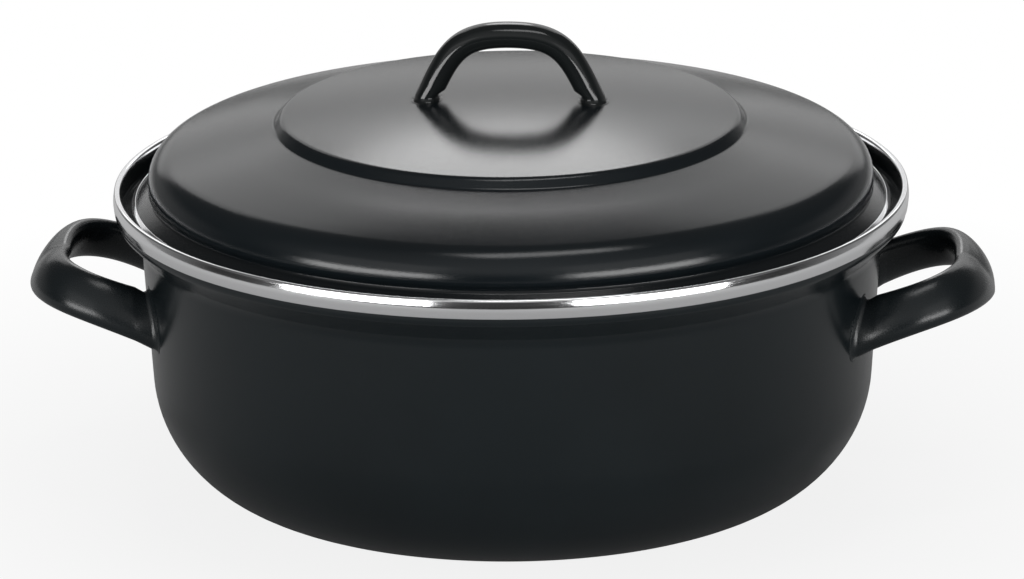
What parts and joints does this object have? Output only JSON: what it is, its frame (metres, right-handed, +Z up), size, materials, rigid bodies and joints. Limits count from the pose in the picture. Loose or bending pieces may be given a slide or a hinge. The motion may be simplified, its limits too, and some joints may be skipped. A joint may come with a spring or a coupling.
{
  "type": "dutch oven",
  "caption": "Round black enamelled steel dutch oven with a flared stainless-banded rim, loop side handles and a stepped, domed lid with an arched handle.",
  "frame": {"origin": "centre of the pot's flat base, on the surface that it stands on", "axes": "+Z up along the pot's axis; +X through the right side handle; +Y away from the picture's viewer"},
  "size_m": [0.37, 0.3038, 0.1842],
  "materials": {
    "pot_enamel": "satin black vitreous enamel",
    "lid_enamel": "satin black vitreous enamel",
    "handle_enamel": "glossy black vitreous enamel",
    "stainless": "polished stainless steel"
  },
  "bodies": {
    "root": {"pot_body": "pot_enamel", "pot_band": "stainless", "handle_left": "pot_enamel", "handle_right": "pot_enamel", "lid": "lid_enamel", "lid_band": "stainless", "lid_handle": "handle_enamel"}
  },
  "joints": []
}
